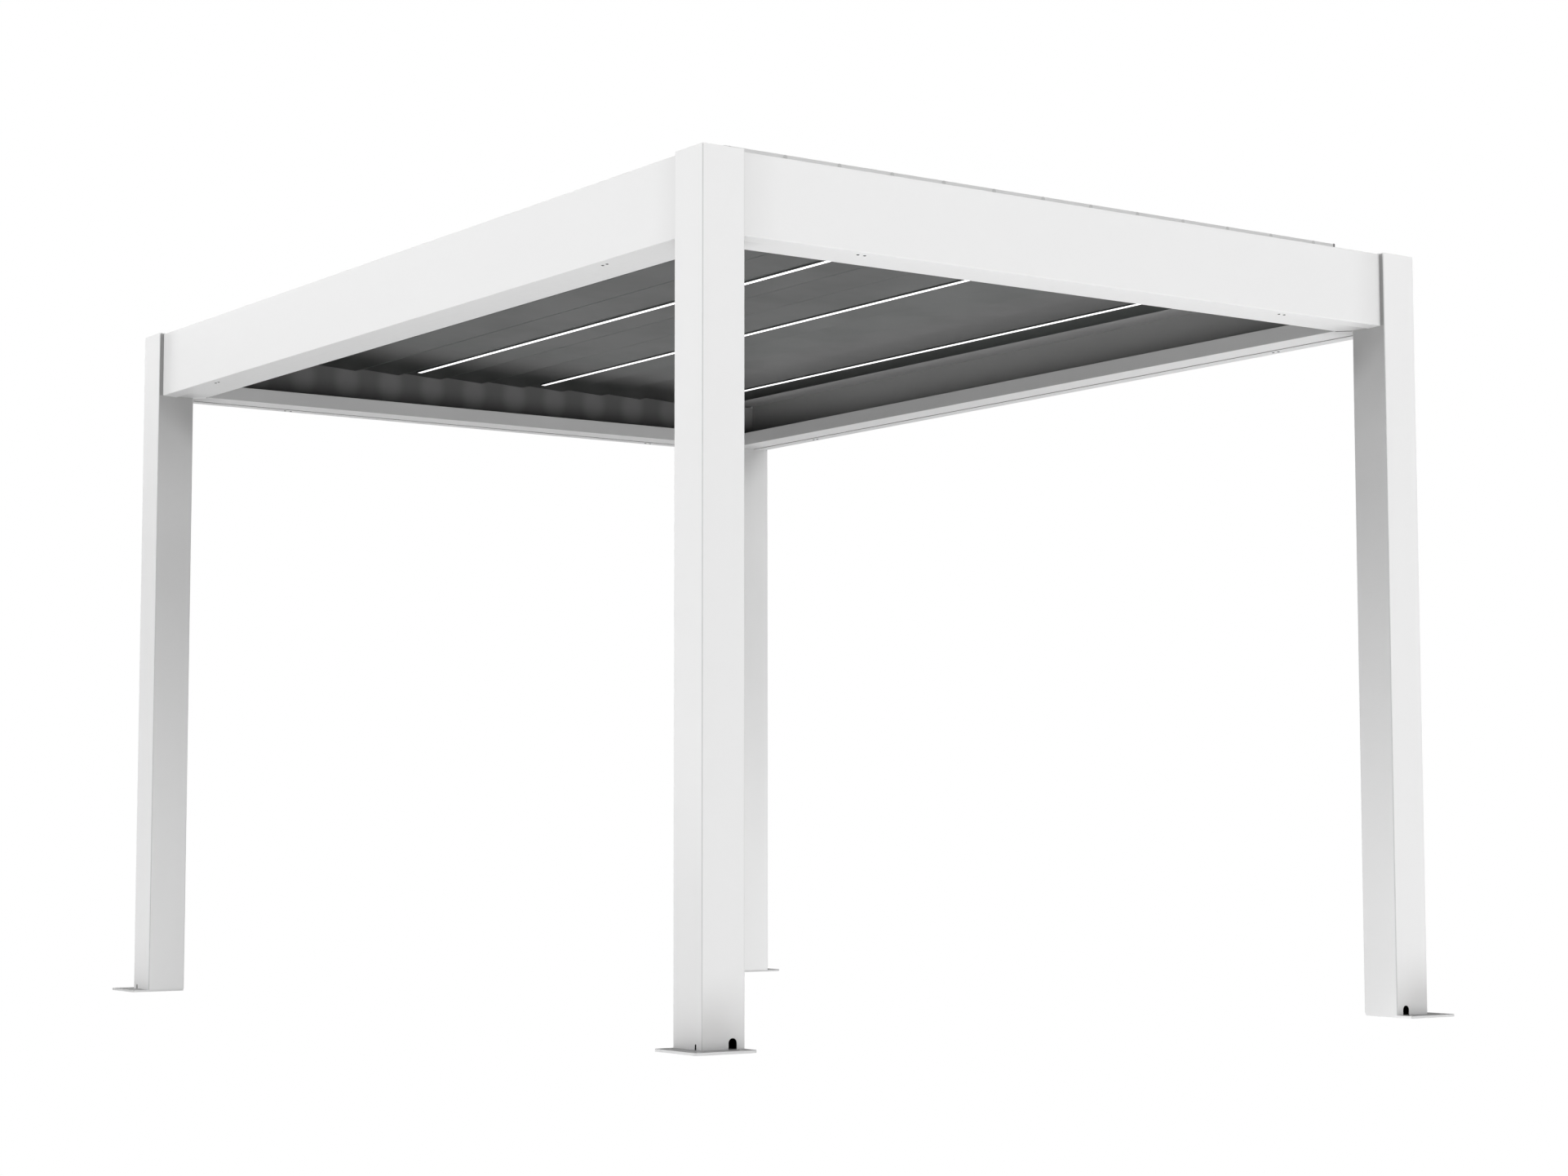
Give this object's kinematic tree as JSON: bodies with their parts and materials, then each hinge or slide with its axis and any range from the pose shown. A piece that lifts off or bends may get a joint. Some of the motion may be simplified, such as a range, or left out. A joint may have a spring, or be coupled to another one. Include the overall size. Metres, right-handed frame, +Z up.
{
  "type": "louvered pergola",
  "caption": "Free-standing garden pergola with white posts and gutter beams, and a roof of turning anthracite louver blades with light strips.",
  "frame": {"origin": "centre of the footprint, on the floor", "axes": "+Z up, +Y along the louver blades, +X along the beams that carry the blade shafts"},
  "size_m": [3.142, 4.232, 2.678],
  "materials": {
    "white_coat": "white powder coat",
    "plate_coat": "white coated steel",
    "anthracite_coat": "anthracite powder coat",
    "bar_metal": "light grey coat",
    "black_plastic": "black plastic",
    "light_diffuser": "opal diffuser"
  },
  "bodies": {
    "frame": {"post_front_left": "white_coat", "post_front_right": "white_coat", "post_back_left": "white_coat", "post_back_right": "white_coat", "post_caps": "white_coat", "base_plates": "plate_coat", "beam_front": "white_coat", "beam_back": "white_coat", "beam_left": "white_coat", "beam_right": "white_coat", "beam_covers": "white_coat", "closing_left": "anthracite_coat", "closing_right": "anthracite_coat", "pivot_bushes": "black_plastic"},
    "louver_01": {"blade_01": "anthracite_coat"},
    "louver_02": {"blade_02": "anthracite_coat", "led_strip_02": "light_diffuser"},
    "louver_03": {"blade_03": "anthracite_coat"},
    "louver_04": {"blade_04": "anthracite_coat"},
    "louver_05": {"blade_05": "anthracite_coat"},
    "louver_06": {"blade_06": "anthracite_coat", "led_strip_06": "light_diffuser"},
    "louver_07": {"blade_07": "anthracite_coat"},
    "louver_08": {"blade_08": "anthracite_coat"},
    "louver_09": {"blade_09": "anthracite_coat", "led_strip_09": "light_diffuser"},
    "louver_10": {"blade_10": "anthracite_coat"},
    "louver_11": {"blade_11": "anthracite_coat"},
    "louver_12": {"blade_12": "anthracite_coat"},
    "louver_13": {"blade_13": "anthracite_coat", "led_strip_13": "light_diffuser"},
    "drive_bar": {"drive_bar": "bar_metal"}
  },
  "joints": [
    {"name": "louver_01_turn", "type": "hinge", "parent": "frame", "child": "louver_01", "pos_m": [-1.27775, 0, 2.61], "axis": [0, 1, 0], "range_deg": [0, 120]},
    {"name": "louver_02_turn", "type": "hinge", "parent": "frame", "child": "louver_02", "pos_m": [-1.07325, 0, 2.61], "axis": [0, 1, 0], "range_deg": [0, 120]},
    {"name": "louver_03_turn", "type": "hinge", "parent": "frame", "child": "louver_03", "pos_m": [-0.86875, 0, 2.61], "axis": [0, 1, 0], "range_deg": [0, 120]},
    {"name": "louver_04_turn", "type": "hinge", "parent": "frame", "child": "louver_04", "pos_m": [-0.66425, 0, 2.61], "axis": [0, 1, 0], "range_deg": [0, 120]},
    {"name": "louver_05_turn", "type": "hinge", "parent": "frame", "child": "louver_05", "pos_m": [-0.45975, 0, 2.61], "axis": [0, 1, 0], "range_deg": [0, 120]},
    {"name": "louver_06_turn", "type": "hinge", "parent": "frame", "child": "louver_06", "pos_m": [-0.25525, 0, 2.61], "axis": [0, 1, 0], "range_deg": [0, 120]},
    {"name": "louver_07_turn", "type": "hinge", "parent": "frame", "child": "louver_07", "pos_m": [-0.05075, 0, 2.61], "axis": [0, 1, 0], "range_deg": [0, 120]},
    {"name": "louver_08_turn", "type": "hinge", "parent": "frame", "child": "louver_08", "pos_m": [0.15375, 0, 2.61], "axis": [0, 1, 0], "range_deg": [0, 120]},
    {"name": "louver_09_turn", "type": "hinge", "parent": "frame", "child": "louver_09", "pos_m": [0.35825, 0, 2.61], "axis": [0, 1, 0], "range_deg": [0, 120]},
    {"name": "louver_10_turn", "type": "hinge", "parent": "frame", "child": "louver_10", "pos_m": [0.56275, 0, 2.61], "axis": [0, 1, 0], "range_deg": [0, 120]},
    {"name": "louver_11_turn", "type": "hinge", "parent": "frame", "child": "louver_11", "pos_m": [0.76725, 0, 2.61], "axis": [0, 1, 0], "range_deg": [0, 120]},
    {"name": "louver_12_turn", "type": "hinge", "parent": "frame", "child": "louver_12", "pos_m": [0.97175, 0, 2.61], "axis": [0, 1, 0], "range_deg": [0, 120]},
    {"name": "louver_13_turn", "type": "hinge", "parent": "frame", "child": "louver_13", "pos_m": [1.17625, 0, 2.61], "axis": [0, 1, 0], "range_deg": [0, 120]},
    {"name": "drive_bar_pin", "type": "hinge", "parent": "louver_01", "child": "drive_bar", "pos_m": [-1.34775, -1.9575, 2.671], "axis": [0, 1, 0], "range_deg": [-120, 0]}
  ],
  "couplings": [
    {"joint": "louver_02_turn", "follows": "louver_01_turn", "ratio": 1},
    {"joint": "louver_03_turn", "follows": "louver_01_turn", "ratio": 1},
    {"joint": "louver_04_turn", "follows": "louver_01_turn", "ratio": 1},
    {"joint": "louver_05_turn", "follows": "louver_01_turn", "ratio": 1},
    {"joint": "louver_06_turn", "follows": "louver_01_turn", "ratio": 1},
    {"joint": "louver_07_turn", "follows": "louver_01_turn", "ratio": 1},
    {"joint": "louver_08_turn", "follows": "louver_01_turn", "ratio": 1},
    {"joint": "louver_09_turn", "follows": "louver_01_turn", "ratio": 1},
    {"joint": "louver_10_turn", "follows": "louver_01_turn", "ratio": 1},
    {"joint": "louver_11_turn", "follows": "louver_01_turn", "ratio": 1},
    {"joint": "louver_12_turn", "follows": "louver_01_turn", "ratio": 1},
    {"joint": "louver_13_turn", "follows": "louver_01_turn", "ratio": 1},
    {"joint": "drive_bar_pin", "follows": "louver_01_turn", "ratio": -1}
  ]
}
